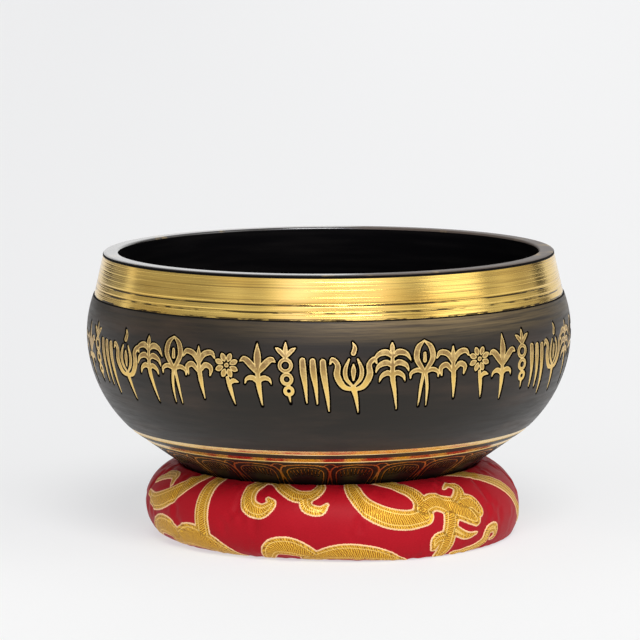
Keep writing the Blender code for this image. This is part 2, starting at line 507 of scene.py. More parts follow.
def draw_lotus(azimuth_from_front, down):
    pitch = 2 * pi / LOTUS_PETALS
    turn = azimuth_from_front % pitch - 0.5 * pitch
    return stroke_field(turn * LOTUS_R, down, lotus_strokes())[0]


def lotus_depth(distance):
    return 0.12 * smoothstep(0.25, -0.1, distance)


# ---- shaders


class Nodes:
    """Short ways to add nodes to a node tree."""

    def __init__(self, tree):
        self.tree = tree

    def put(self, node, socket, value):
        if isinstance(value, bpy.types.NodeSocket):
            self.tree.links.new(value, node.inputs[socket])
        else:
            node.inputs[socket].default_value = value

    def add(self, kind, inputs=None, **settings):
        node = self.tree.nodes.new("ShaderNode" + kind)
        for name, value in settings.items():
            setattr(node, name, value)
        for socket, value in (inputs or {}).items():
            self.put(node, socket, value)
        return node

    def math(self, operation, *values):
        return self.add("Math", dict(enumerate(values)), operation=operation).outputs[0]

    def times(self, a, b):
        return self.math("MULTIPLY", a, b)

    def attribute(self, name):
        return self.add("Attribute", attribute_name=name).outputs["Fac"]

    def apart(self, a, b):
        return self.math("ABSOLUTE", self.math("SUBTRACT", a, b))

    def position(self, space="Object"):
        """x, y and z on the piece, in metres."""
        return self.add("SeparateXYZ", {0: self.add("TexCoord").outputs[space]}).outputs

    def place(self, scale=(1, 1, 1)):
        """The position on the piece as one vector, scaled."""
        coordinates = self.add("TexCoord").outputs["Object"]
        return self.add("Mapping", {"Vector": coordinates, "Scale": scale}).outputs[0]

    def noise(self, scale, detail=3, roughness=0.5, at=None):
        inputs = {"Vector": at or self.place(), "Scale": scale, "Detail": detail, "Roughness": roughness}
        return self.add("TexNoise", inputs).outputs["Fac"]

    def turned_noise(self, around, up, detail=3, roughness=0.5, scale=1):
        """Noise that is drawn out round the bowl's axis."""
        x, y, z = self.position()
        angle = self.math("ARCTAN2", y, x)
        inputs = {"X": self.times(angle, around), "Y": self.times(z, up), "Z": 0}
        return self.noise(scale, detail, roughness, self.add("CombineXYZ", inputs).outputs[0])

    def step(self, value, low, high, to_low=0, to_high=1, curve="SMOOTHSTEP"):
        """A change from to_low to to_high as value goes from low to high."""
        inputs = {"Value": value, "From Min": low, "From Max": high, "To Min": to_low, "To Max": to_high}
        return self.add("MapRange", inputs, interpolation_type=curve).outputs[0]

    def mix(self, share, a, b):
        node = self.add("Mix", data_type="RGBA")
        for socket, value in zip((0, 6, 7), (share, a, b)):
            if isinstance(value, tuple):
                value = (*value, 1)
            self.put(node, socket, value)
        return node.outputs[2]

    def blend(self, share, a, b):
        """A number between a and b."""
        return self.add("Mix", {0: share, 2: a, 3: b}).outputs[0]

    def bump(self, height, distance, strength=1, over=None):
        inputs = {"Height": height, "Distance": distance, "Strength": strength}
        if over is not None:
            inputs["Normal"] = over
        return self.add("Bump", inputs).outputs[0]


class Shader(Nodes):
    """A material's nodes, round its Principled BSDF."""

    def __init__(self, name, **constants):
        self.material = bpy.data.materials.new(name)
        self.material.use_nodes = True
        super().__init__(self.material.node_tree)
        self.drive(**constants)

    def drive(self, **sockets):
        for socket, value in sockets.items():
            self.put(self.tree.nodes["Principled BSDF"], socket.replace("_", " "), value)
        return self.material


LACQUER_DARK = (0.01, 0.008, 0.006)
LACQUER_BROWN = (0.044, 0.027, 0.018)
# painted highlight: the brown of the lacquer's soft reflection just under the band
LACQUER_PAINTED_HIGHLIGHT = (0.168, 0.116, 0.05)
# painted shade: the near-black of the groove cut round each engraved stroke
LACQUER_GROOVE_SHADE = (0.0015, 0.0012, 0.001)
LACQUER_GLOSS = {"Specular_IOR_Level": 0.36, "Specular_Tint": (1, 0.95, 0.88, 1)}
# how far right of the front the painted highlight is centred
PAINTED_HIGHLIGHT_X = 0.032
BRASS = (0.92, 0.64, 0.175)
BRASS_DEEP = (0.8, 0.5, 0.115)
BRASS_DARK = (0.33, 0.2, 0.05)
GROOVE_DARK = (0.035, 0.022, 0.012)


def lacquer_colour(shader):
    """Black-brown lacquer, thinner and browner in soft bands round the bowl, with a streaked brown highlight
    painted on beside the bare band, most of all in front and a little to the right, where the bright front
    of the room would reflect."""
    bands = shader.turned_noise(1.2, 90, 5, 0.6)
    patches = shader.noise(26)
    share = shader.times(shader.step(bands, 0.42, 0.72), shader.step(patches, 0.35, 0.7, 0.3, 1))
    colour = shader.mix(share, LACQUER_DARK, LACQUER_BROWN)
    x, _, z = shader.position()
    # painted highlight: a streaked brown patch just under the band, centred a little right of the front
    front = shader.step(shader.apart(x, PAINTED_HIGHLIGHT_X), 0.078, 0.014, 0.1, 1)
    painted_highlight = shader.times(shader.step(z, 0.0775, 0.0868), front)
    highlight_streaks = shader.step(shader.turned_noise(2.2, 900, 4, 0.7), 0.3, 0.68, 0.1, 1)
    return shader.mix(shader.times(painted_highlight, highlight_streaks), colour, LACQUER_PAINTED_HIGHLIGHT)


def lacquer_roughness(shader):
    return shader.step(shader.turned_noise(5, 700, 4, 0.7), 0.3, 0.75, 0.36, 0.5)


def lacquer_bump(shader):
    """Fine turning lines under the lacquer, and its own slight unevenness."""
    turned = shader.bump(shader.turned_noise(3, 2600, 2), 0.00002, 0.5)
    return shader.bump(shader.noise(120, 2), 0.0002, 0.12, over=turned)


def lacquer():
    shader = Shader("bowl_lacquer", **LACQUER_GLOSS)
    return shader.drive(
        Base_Color=lacquer_colour(shader),
        Roughness=lacquer_roughness(shader),
        Normal=lacquer_bump(shader),
    )


def rim_lacquer():
    """The rim's top: shiny lacquer, in places rubbed brown and dull, or through to the metal."""
    shader = Shader("rim_lacquer", Specular_IOR_Level=0.6, Coat_Roughness=0.1)
    wander = shader.noise(45)
    x, _, _ = shader.position()
    rubbed = shader.step(shader.math("ADD", x, shader.times(wander, 0.05)), 0.022, 0.045)
    bare = shader.step(shader.noise(70, 4, 0.65), 0.58, 0.72, 0, 0.5)
    colour = shader.mix(rubbed, (0.03, 0.026, 0.024), (0.075, 0.052, 0.038))
    gloss = shader.step(shader.turned_noise(1, 50, 2), 0.3, 0.7, 0.18, 0.28)
    return shader.drive(
        Base_Color=shader.mix(bare, colour, (0.62, 0.44, 0.18)),
        Metallic=bare,
        Roughness=shader.blend(rubbed, gloss, 0.5),
        Coat_Weight=shader.blend(rubbed, 1, 0.12),
        Normal=shader.bump(wander, 0.0001, 0.2),
    )


# Near-black lacquer of the inside, also laid outside as painted shade: at the rim's outer step, under the
# band and below the lotus.
def black_inside_and_painted_shade():
    shader = Shader("black_inside_and_painted_shade", Specular_IOR_Level=0.02)
    marks = shader.turned_noise(2, 260, 4)
    colour = shader.mix(shader.step(marks, 0.4, 0.7), (0.003, 0.0028, 0.0032), (0.006, 0.0054, 0.0054))
    return shader.drive(
        Base_Color=colour,
        Roughness=shader.step(marks, 0.3, 0.7, 0.5, 0.62),
        Normal=shader.bump(marks, 0.0001, 0.3),
    )


def turned_brass():
    """Bare brass with fine lines from the lathe tool, and dark colour laid in parts of three grooves; in the
    lowest, at the band's lower edge, it paints the shade line there.
    """
    shader = Shader("turned_brass", Metallic=1, Anisotropic=0.75, Anisotropic_Rotation=0.25)
    fine = shader.turned_noise(0.9, 1500, 3, 0.75)
    coarse = shader.turned_noise(0.5, 900, 2)
    tarnish = shader.turned_noise(2.2, 120, 4)
    colour = shader.mix(shader.step(tarnish, 0.35, 0.75), BRASS, BRASS_DEEP)
    colour = shader.mix(shader.step(fine, 0.48, 0.7, 0, 0.75), colour, BRASS_DARK)
    _, _, height = shader.position()
    # dark colour in the grooves; at the band's lower edge it is painted shade
    for middle, broken in DARKENED_GROOVES:
        off = shader.apart(height, middle)
        kept = shader.step(shader.turned_noise(4, 300, 3, 0.7, broken), 0.47, 0.54, 0.1, 0.95)
        colour = shader.mix(shader.times(shader.step(off, 0.00034, 0.00016), kept), colour, GROOVE_DARK)
    return shader.drive(
        Base_Color=colour,
        Roughness=shader.step(coarse, 0.3, 0.7, 0.15, 0.22),
        Tangent=shader.add("Tangent", direction_type="RADIAL", axis="Z").outputs[0],
        Normal=shader.bump(coarse, 0.0001, 0.6, over=shader.bump(fine, 0.00005, 0.9)),
    )


def ring_brass():
    """The narrow bare rings: polished, with a slight wobble."""
    shader = Shader("ring_brass", Metallic=1)
    wobble = shader.turned_noise(30, 900, 2)
    return shader.drive(
        Base_Color=shader.mix(wobble, (0.95, 0.72, 0.34), (0.82, 0.54, 0.2)),
        Roughness=shader.step(wobble, 0.3, 0.7, 0.16, 0.28),
        Normal=shader.bump(wobble, 0.0001, 0.4),
    )


def engraved(name, outline_width, metals, ground=None):
    """Lacquer cut through to the metal, with a near-black line round each stroke, painted in as the shade of
    the groove cut there. The engraving attribute is the distance, in mm, to a stroke's edge. metals are the
    colours low and high on the wall, and at edges."""
    low_metal, high_metal, edge_metal = metals
    shader = Shader(name, **LACQUER_GLOSS)
    ragged = shader.step(shader.noise(2600, 2), 0.2, 0.8, -0.05, 0.05)
    distance = shader.math("ADD", shader.attribute("engraving"), ragged)
    gold = shader.step(distance, 0.02, -0.08)
    # painted shade: the outline band round each stroke, coloured near black
    cut = shader.step(distance, outline_width, outline_width - 0.14)
    tool_marks = shader.noise(1, at=shader.place((700, 700, 2600)))
    patina = shader.noise(260, 3, 0.6)
    _, _, height = shader.position()
    high = shader.step(shader.math("ADD", height, shader.times(patina, 0.008)), 0.0665, 0.0765)
    metal = shader.mix(high, low_metal, high_metal)
    metal = shader.mix(shader.step(patina, 0.44, 0.64, 0, 0.45), metal, edge_metal)
    metal = shader.mix(shader.step(distance, -0.42, -0.22), metal, edge_metal)
    lacquered = shader.mix(cut, ground or lacquer_colour(shader), LACQUER_GROOVE_SHADE)
    polish = shader.step(tool_marks, 0.3, 0.7, 0.26, 0.42)
    depth = shader.step(distance, outline_width, 0, 1, 0)
    carved = shader.bump(depth, 0.00022, 0.8, over=lacquer_bump(shader))
    return shader.drive(
        Base_Color=shader.mix(gold, lacquered, metal),
        Metallic=cut,
        Roughness=shader.blend(gold, lacquer_roughness(shader), polish),
        Normal=shader.bump(shader.times(tool_marks, gold), 0.00012, 0.7, over=carved),
    )


def frieze_metal():
    return engraved("engraved_frieze", 0.62, ((0.94, 0.63, 0.17), (0.33, 0.205, 0.08), (0.94, 0.68, 0.27)))


def lotus_metal():
    gold = (0.9, 0.6, 0.24)
    # ground: near-black lacquer, darker than the wall's own, painted as the shade under the bowl
    return engraved("engraved_lotus", 0.24, (gold, gold, (0.8, 0.46, 0.15)), (0.006, 0.004, 0.003))


# ---- bowl


def rim_rows():
    """The rim from the inside outwards: lip, flat top, worn edge and the black strip under that."""
    round_z = RIM_TOP_Z - RIM_ROUND
    lip = arc((RIM_OUTER_R - RIM_WIDTH + RIM_ROUND, round_z), RIM_ROUND, RIM_ROUND, pi, pi / 2, 0.00025)
    edge_r = RIM_OUTER_R - RIM_WORN
    flat = np.column_stack([np.linspace(lip[-1, 0], edge_r, 5)[1:-1], np.full(3, RIM_TOP_Z)])
    edge = arc((edge_r, round_z), RIM_WORN, RIM_ROUND, pi / 2, 0, 0.00025)
    strip = np.array([[RIM_OUTER_R, edge[-1, 1] - share * STRIP_HEIGHT] for share in (0.33, 0.66, 1.0)])
    return lip, flat, edge, strip


def band_rows():
    """The bare band from top to bottom, with the lathe tool's grooves."""
    top = np.array([RIM_OUTER_R, RIM_TOP_Z - RIM_ROUND - STRIP_HEIGHT])
    bottom = np.array([BAND_BOTTOM_R - BAND_STEP, BAND_BOTTOM_Z])
    length = np.linalg.norm(bottom - top)
    along = (bottom - top) / length
    outward = np.array([-along[1], along[0]])
    s = np.arange(BAND_PITCH, length, BAND_PITCH)
    depth = np.zeros_like(s)
    for middle, half_width, deep in TURNED_GROOVES:
        groove = 1 - smoothstep(0, 1.6 * half_width * MM, abs(s - middle * MM))
        depth = np.maximum(depth, deep * MM * groove)
    depth += 0.00002 * np.sin(s * 2 * pi / 0.00047) ** 2
    return top + s[:, None] * along - depth[:, None] * outward


def recess_marks(start, end, depth, strip):
    """(distance along the wall, depth, strip above) across a sleeve's channel or a narrow ring."""
    bevel, spacing = (0, 0.004) if depth > SLEEVE_DEPTH else (RING_BEVEL, 0.0003)
    across = [(s, depth, strip) for s in np.arange(start + 0.0003, end - 0.0002, spacing)]
    ends = [(end - bevel, depth, strip), (end, 0.0, strip)]
    return [(start, 0.0, "lacquer"), (start + bevel, depth, strip), *across, *ends]


def wall_rows(wall):
    """(rows, names of the strips above them) for the outside below the band, with its rings and channels."""
    channels = [[length_at_height(wall, z) for z in heights] for heights in (FRIEZE_HEIGHTS, LOTUS_HEIGHTS)]
    recesses = [(*channel, CHANNEL_DEPTH, "lacquer") for channel in channels]
    for top_z, width in RINGS:
        start = length_at_height(wall, top_z)
        recesses.append((start, start + width, RING_DEPTH, "ring"))
    # the strip just under the band takes the near-black inside lacquer: painted shade at the band's lower
    # step
    marks = [(0.0, 0.0, "inside"), (STRIP_HEIGHT, 0.0, "inside")]
    for start, end, depth, strip in sorted(recesses):
        plain = np.arange(marks[-1][0] + WALL_PITCH, start - 0.0006, WALL_PITCH)
        marks += [(s, 0.0, "lacquer") for s in (*plain, start - 0.0003)]
        marks += recess_marks(start, end, depth, strip)
        marks.append((end + 0.0003, 0.0, "lacquer"))
    # below the lotus the wall takes the near-black inside lacquer: painted shade under the bowl
    below = np.arange(marks[-1][0] + WALL_PITCH, run_lengths(wall)[-1], WALL_PITCH)
    marks += [(s, 0.0, "inside") for s in below]
    s, depth, strips = zip(*marks)
    points, outward = points_at(wall, np.array(s))
    return points - np.array(depth)[:, None] * outward, list(strips)


def inner_rows(wall):
    """The inside from the lip down to the axis."""
    points, outward = points_at(wall, np.arange(0.004, run_lengths(wall)[-1], 0.0015))
    inside = points - WALL * outward
    floor_z = FOOT_Z + WALL
    inside[:, 1] = np.maximum(inside[:, 1], floor_z)
    centre = np.array([[inside[-1, 0] * share, floor_z] for share in (0.66, 0.33, 0.01)])
    return np.vstack([inside, centre])


def build_bowl(wall):
    materials = {
        "inside": black_inside_and_painted_shade(),
        "rim": rim_lacquer(),
        "band": turned_brass(),
        "lacquer": lacquer(),
        "ring": ring_brass(),
    }
    lip, flat, edge, strip = rim_rows()
    inside = inner_rows(wall)[::-1]
    band = band_rows()
    outside, outside_strips = wall_rows(wall)
    foot = np.array([[outside[-1, 0] * share, FOOT_Z] for share in (0.66, 0.33, 0.01)])
    parts = [
        (inside, ["inside"] * len(inside)),
        (lip, ["inside"] + ["rim"] * (len(lip) - 1)),
        (flat, ["rim"] * len(flat)),
        # the edge's steep end and the strip under it take the near-black inside lacquer: painted shade at
        # the rim's outer step
        (edge, ["rim"] * (len(edge) - 3) + ["inside"] * 3),
        (strip, ["inside"] * len(strip)),
        (band, ["band"] * len(band)),
        (outside, outside_strips),
        (foot, ["lacquer"] * len(foot)),
    ]
    section = np.vstack([points for points, _ in parts])
    strips = [name for _, names in parts for name in names]
    slots = [list(materials).index(name) for name in strips[1:]]
    return lathe("bowl_shell", section, BOWL_COLUMNS, list(materials.values()), slots)


def relief_sleeve(name, wall, heights, grid, draw, depth_of, material):
    """A thin closed ring with drawn relief on its face, flush with the wall at both edges."""
    start, end = (length_at_height(wall, z) for z in heights)
    columns, row_pitch = grid
    rows = round((end - start) / row_pitch)
    lengths = np.linspace(start, end, rows + 1)
    points, outward = points_at(wall, lengths)
    azimuths = ring_azimuths(columns)
    distance = draw(azimuths[None, :] + pi / 2, (lengths - start)[:, None] / MM)
    depth = depth_of(distance) * MM
    depth[[0, -1]] = 0
    depth = np.vstack([depth, np.full((2, columns), SLEEVE_DEPTH)])
    order = [*range(rows + 1), -1, 0]
    r, z = (points[order, i, None] - depth * outward[order, i, None] for i in (0, 1))
    faces = ring_faces(rows + 3, columns, True)
    made = add_mesh(name, swept(r, z, azimuths), faces[:, ::-1], [material])
    set_attribute(made, "engraving", np.vstack([distance, np.full((2, columns), FIELD_REACH)]))
    made.data.set_sharp_from_angle(angle=radians(50))
    return made


# ---- brocade

BROCADE_WIDTH = pi * CUSHION_R / MM  # two repeats round the cushion
BROCADE_DROP = 58.0  # the second row of motifs lies this far below the first, half a repeat along
RIB_PITCH = 0.78


def leaf_and_stem():
    return chains(
        ((-59, -8, 1.4), (-61.5, 2, 3.2), (-70, 12.5, 3.8), (-82, 17.5, 3.2), (-92, 16, 1.2)),
        ((-91, 10, 1.6), (-85, 6, 2.6), (-78.5, 5.4, 1.8), (-75, 9.4, 0.7)),
        ((-51, -12, 3.0), (-51.4, 8, 2.9), (-49.6, 25, 3.1)),
    )


def low_clouds():
    return chains(
        ((-88, 33, 2.0), (-80, 26.5, 3.4), (-71, 25.6, 4.2), (-64, 29, 3.2)),
        ((-68, 31, 3.0), (-57, 27.2, 5.2), (-46, 30.5, 4.6), (-35, 36, 1.4)),
        ((-24, 35, 2.2), (-21.4, 28.6, 3.4), (-15, 27.6, 3.9), (-8, 30.5, 3.2), (-4, 34, 1.6)),
        ((-9, 34, 2.2), (1, 30.4, 3.8), (10, 30.2, 4.0), (19, 32, 3.2), (27, 36, 1.0)),
    )


def upper_scroll():
    left = ((-22, -4, 1.2), (-28.5, -0.5, 2.5), (-32, 6, 3.0), (-30.6, 12.4, 3.0), (-25.6, 14.6, 2.7))
    right = ((-29, -1, 1.8), (-23, -1, 2.6), (-18.4, 3.6, 2.8), (-12.6, 7.4, 2.8), (-6.6, 6.4, 2.5))
    return chains(
        (*left, (-21.8, 11.6, 1.7), (-23.6, 9.4, 0.7)),
        (*right, (-3.8, 2, 1.9), (-4.6, -3, 1.0)),
        ((-9.6, 8.4, 2.3), (-8.2, 12.4, 2.1), (-3.8, 13.6, 1.7), (-1.2, 11.2, 0.6)),
    )


def great_scroll():
    loop = ((8.6, -6, 1.6), (9, 4, 3.0), (12.6, 11.6, 3.4), (20, 16.4, 3.6), (28, 18, 3.4))
    head = (
        (*loop, (34.6, 17, 3.4)),
        ((34.6, 16.6, 3.2), (33.6, 9.6, 2.9), (28.6, 3.8, 2.8), (21, -0.6, 2.2), (15, -5, 1.4)),
        ((33.6, 14.4, 3.0), (40, 12.2, 3.4), (46.4, 14.6, 3.7), (53, 17.8, 3.6), (57.2, 21, 2.2)),
        ((48, 14, 1.8), (52.4, 11.6, 2.3), (54.4, 8, 1.9), (51, 6, 1.1), (47.8, 7.4, 0.5)),
        ((52.0, 14.6, 3.2), (56.8, 14.8, 3.2), (59.4, 18, 2.4)),
    )
    tendril = ((47, 35, 1.5), (56, 33.4, 1.9), (62.4, 30.6, 1.9), (64.4, 26, 1.8), (68.6, 25.8, 1.8))
    stalk = ((38, -10, 1.4), (51, -4, 1.9), (64, 0.6, 2.2), (77, 7.8, 2.3), (88, 16, 2.3))
    tail = (
        ((46, 18, 3.4), (44, 24, 2.9), (42.6, 29, 3.1), (40.6, 35, 2.2)),
        ((43, 25.4, 2.4), (38.8, 26.2, 2.2), (37.8, 29.8, 1.2)),
        ((46, 23.2, 1.9), (52.2, 26.2, 1.4), (57.4, 25.9, 0.4)),
        (*tendril, (69.2, 29.2, 1.1), (66.4, 30.2, 0.5)),
        (*stalk, (97, 27, 2.1)),
    )
    return chains(*head, *tail)


def brocade_strokes():
    strokes = leaf_and_stem() + low_clouds() + upper_scroll() + great_scroll()
    rows = ((0, 0), (0.5 * BROCADE_WIDTH, BROCADE_DROP), (0.5 * BROCADE_WIDTH, -BROCADE_DROP))
    repeats = [(x + k * BROCADE_WIDTH, y) for x, y in rows for k in (-1, 0, 1)]
    return [moved(s, x, y) for x, y in repeats for s in strokes]


def satin_brocade():
    """Red satin with gold floats inside a pale cord. Its attributes are in mm: along and down the cloth,
    motif (the distance to a motif's edge) and rib, which grows along the motif."""
    sheen = {"Sheen_Weight": 0.02, "Sheen_Roughness": 0.4, "Sheen_Tint": (1, 0.55, 0.5, 1)}
    shader = Shader("brocade", Specular_IOR_Level=0.09, **sheen)
    along, down, motif, rib = map(shader.attribute, ("along", "down", "motif", "rib"))
    cloth = shader.add("CombineXYZ", {"X": along, "Y": down, "Z": 0}).outputs[0]
    phase = shader.times(shader.math("ADD", rib, shader.noise(0.9, 2, at=cloth)), 2 * pi / RIB_PITCH)
    ribs = shader.step(shader.math("SINE", phase), -0.9, 0.8)
    edge = shader.math("ADD", motif, shader.times(ribs, -0.14))
    gold = shader.step(edge, 0, -0.12)
    cord = shader.times(shader.step(edge, 0.3, 0.16), shader.step(edge, -0.42, -0.26))
    inner_line = shader.step(shader.apart(motif, -1.45), 0.26, 0.1, 0, 0.8)

    stretched = shader.add("Mapping", {"Vector": cloth, "Scale": (1.2, 7, 1)}).outputs[0]
    weft = shader.step(shader.noise(1, at=stretched), 0.35, 0.75, 0, 0.3)
    red = shader.mix(shader.noise(0.09, 2, at=cloth), (0.37, 0.0045, 0.012), (0.28, 0.0028, 0.008))
    red = shader.mix(weft, red, (0.48, 0.014, 0.024))
    thread = shader.mix(ribs, (0.3, 0.105, 0.008), (0.82, 0.47, 0.05))
    thread = shader.mix(inner_line, thread, (0.92, 0.62, 0.18))

    wave = {"Vector": cloth, "Scale": 1.1, "Distortion": 0.6, "Detail": 1}
    twill = shader.add("TexWave", wave, bands_direction="DIAGONAL").outputs["Fac"]
    floats = shader.math("ADD", shader.times(ribs, gold), shader.times(cord, 1.2))
    return shader.drive(
        Base_Color=shader.mix(cord, shader.mix(gold, red, thread), (0.9, 0.58, 0.3)),
        Metallic=shader.times(gold, 0.3),
        Roughness=shader.blend(gold, 0.48, 0.4),
        Normal=shader.bump(floats, 0.00012, 0.8, over=shader.bump(twill, 0.00003, 0.5)),
    )


# ---- cushion


def cushion_section():
    """The cushion's closed outline, from the seam in the hole under the ring, up its side and over the seat.
    Also the distances along it at which the side starts, the side ends and the seat ends."""
    *_, foot, cone_top = wall_centres()
    seat_z = FOOT_Z - GAP
    edge_z = cone_top.y - (cone_top.x - SEAT_OUTER_R) * tan(CONE_SLOPE) - GAP / cos(CONE_SLOPE)
    outer_reach = CUSHION_R - CREST_R
    turn = acos((SEAT_OUTER_R - CREST_R) / outer_reach)
    crest_reach = (edge_z - WIDEST_Z) / sin(turn)
    inner_reach = FLOOR_INNER_R - HOLE_R
    hole = (FLOOR_INNER_R, WIDEST_Z)
    parts = [
        arc(hole, inner_reach, WIDEST_Z, pi, 1.5 * pi),
        arc((FLOOR_OUTER_R, WIDEST_Z), CUSHION_R - FLOOR_OUTER_R, WIDEST_Z, -pi / 2, 0),
        arc((CREST_R, WIDEST_Z), outer_reach, crest_reach, 0, turn),
        arc(foot, FOOT_ARC_R + GAP, FOOT_ARC_R + GAP, CONE_FACES, -pi / 2),
        arc(hole, inner_reach, seat_z - WIDEST_Z, pi / 2, pi),
    ]
    path = join(*parts)
    lengths = run_lengths(path)
    corners = (parts[1][0], parts[2][-1], parts[4][0])
    marks = [lengths[np.argmin(np.linalg.norm(path - corner, axis=1))] for corner in corners]
    return path, marks


def cushion_rows(marks, total):
    """Distances along the section: close together on the side that shows, wider apart elsewhere."""
    side_start, side_end, seat_end = marks
    show_from, show_to = side_start - 0.004, side_end + 0.002
    runs = (
        np.linspace(0.0, 0.0016, 4),
        np.linspace(0.003, show_from, 12, endpoint=False),
        np.linspace(show_from, show_to, 72, endpoint=False),
        np.linspace(show_to, seat_end, 18, endpoint=False),
        np.linspace(seat_end, total - 0.003, 5),
        np.linspace(total - 0.0016, total, 3, endpoint=False),
    )
    return np.concatenate(runs)


def cushion_grid(path, lengths, azimuths):
    """The plain cushion's points, as (rows, columns, 3)."""
    points, _ = points_at(path, lengths)
    return swept(points[:, :1], points[:, 1:], azimuths).reshape(len(lengths), len(azimuths), 3)


def grid_normals(grid):
    """Unit normals, pointing out of the tube, of a grid that repeats both ways."""
    down = np.roll(grid, -1, 0) - np.roll(grid, 1, 0)
    round_axis = np.roll(grid, -1, 1) - np.roll(grid, 1, 1)
    normal = np.cross(round_axis, down)
    return normal / np.linalg.norm(normal, axis=-1, keepdims=True)


def finer(values, places, axis):
    """Values that repeat along an axis, read between their samples on a smooth curve."""
    index = np.floor(places).astype(int)
    shape = [1] * values.ndim
    shape[axis] = len(places)
    four = (np.take(values, (index + k) % values.shape[axis], axis) for k in (-1, 0, 1, 2))
    return between(*four, (places - index).reshape(shape))


def settle_cloth(grid, free):
    """The grid after the tube of cloth is blown up. free has a share for each point of the grid, 0 where the
    bowl, the floor or a seam holds the cloth."""
    faces = ring_faces(*grid.shape[:2], True)
    cloth = add_mesh("cloth_in_progress", grid.reshape(-1, 3), faces, [])
    held = cloth.vertex_groups.new(name="held")
    for index, share in enumerate(1 - free.ravel()):
        held.add([index], float(share), "REPLACE")
    modifier = cloth.modifiers.new("cloth", "CLOTH")
    modifier.collision_settings.use_collision = False
    for name, value in CLOTH_SETTINGS.items():
        setattr(modifier.settings, name, value)
    modifier.settings.effector_weights.gravity = 0
    scene = bpy.context.scene
    for frame in range(1, CLOTH_FRAMES + 1):
        scene.frame_set(frame)
    settled = cloth.evaluated_get(bpy.context.evaluated_depsgraph_get())
    found = np.empty(grid.size, np.float32)
    settled.to_mesh().vertices.foreach_get("co", found)
    settled.to_mesh_clear()
    bpy.data.objects.remove(cloth)
    scene.frame_set(1)
    return found.reshape(grid.shape)


def cloth_shift(path, marks, rows):
    """How far the simulated cloth moves each of the cushion's points. Its rows are distances along path."""
    side_start, side_end, _ = marks
    total = run_lengths(path)[-1]
    lengths = np.arange(COARSE_ROWS) * total / COARSE_ROWS
    azimuths = ring_azimuths(COARSE_COLUMNS)
    coarse = cushion_grid(path, lengths, azimuths)
    shown = smoothstep(side_start - 0.002, side_start + 0.005, lengths)
    shown = shown * smoothstep(side_end + 0.001, side_end - 0.004, lengths)
    from_seam = np.abs(azimuths - END_SEAM_AZIMUTH) * CUSHION_R
    free = shown[:, None] * smoothstep(0.001, 0.006, from_seam)[None, :]
    slack = coarse - CLOTH_SLACK * free[..., None] * grid_normals(coarse)
    shift = (settle_cloth(slack, free) - coarse) * (free > 0)[..., None]
    moved_by = np.linalg.norm(shift, axis=-1, keepdims=True)
    shift *= CLOTH_REACH * np.tanh(moved_by / CLOTH_REACH) / np.maximum(moved_by, 1e-9)
    shift = finer(shift, rows * COARSE_ROWS / total, 0)
    return finer(shift, np.arange(CUSHION_COLUMNS) * COARSE_COLUMNS / CUSHION_COLUMNS, 1)


def fullness(azimuths, lengths, marks):
    """How much further out the cloth reaches where the filling has gathered, low at the front right."""
    side_start, side_end, _ = marks
    above = lengths - side_start
    under = smoothstep(-0.014, -0.002, above)
    side = smoothstep(side_end - side_start - 0.003, 0.008, above)
    low = np.exp(-np.maximum(above, 0) / FULL_FALL)
    reach = under * side * (FULL_WIDE + (FULL_LOW - FULL_WIDE) * low)
    return reach[:, None] * smoothstep(0.2, 0.8, np.cos(azimuths - FULL_AZIMUTH))[None, :]


def cloth_relief(grid, azimuths, lengths, marks, total, motif):
    """Height of the cloth's own relief: raised motifs and cords, gathers round the hole and sunk seams."""
    side_end = marks[1]
    raised = 0.00016 * smoothstep(0.25, -0.25, motif) + 0.0001 * np.exp(-((motif / 0.3) ** 2))
    in_seat = smoothstep(side_end - 0.002, side_end + 0.002, lengths)
    in_seat *= smoothstep(total - 0.002, total - 0.006, lengths)
    across_end_seam = np.abs(azimuths - END_SEAM_AZIMUTH)[None, :] * np.linalg.norm(grid[..., :2], axis=-1)
    from_closing_seam = np.minimum(lengths, total - lengths)[:, None]
    groove = np.maximum(
        1 - smoothstep(0.0006, SEAM_HALF_WIDTH, across_end_seam),
        1 - smoothstep(0.0006, SEAM_HALF_WIDTH, from_closing_seam),
    )
    folds = np.sin(azimuths * 46 + 1.3 * np.sin(azimuths * 3))[None, :]
    gathers = 0.0003 * (folds * np.exp(-from_closing_seam / 0.006) + 1)
    return raised * (1 - in_seat[:, None]) - SEAM_DEPTH * groove - gathers * (1 - groove)


def build_cushion():
    path, marks = cushion_section()
    total = run_lengths(path)[-1]
    lengths = cushion_rows(marks, total)
    azimuths = ring_azimuths(CUSHION_COLUMNS)
    grid = cushion_grid(path, lengths, azimuths)
    grid = grid + cloth_shift(path, marks, lengths)
    grid[..., :2] *= 1 + fullness(azimuths, lengths, marks)[..., None] / CUSHION_R

    along = ((azimuths + 1.5 * pi) % (2 * pi) - pi) * CUSHION_R / MM
    down = (marks[1] - lengths) / MM
    along, down = np.broadcast_arrays(along[None, :], down[:, None])
    in_repeat = (along + 0.5 * BROCADE_WIDTH) % BROCADE_WIDTH - 0.5 * BROCADE_WIDTH
    motif, rib = stroke_field(in_repeat, down, brocade_strokes(), reach=2.5)

    relief = cloth_relief(grid, azimuths, lengths, marks, total, motif)
    grid = grid + grid_normals(grid) * relief[..., None]
    grid[..., 2] = np.maximum(grid[..., 2], 0.00005)
    faces = ring_faces(len(lengths), CUSHION_COLUMNS, True)
    made = add_mesh("cushion_cloth", grid.reshape(-1, 3), faces, [satin_brocade()])
    for name, values in (("along", along), ("down", down), ("motif", motif), ("rib", rib)):
        set_attribute(made, name, values)
    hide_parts("cushion_cover")
    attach(made, "cushion")


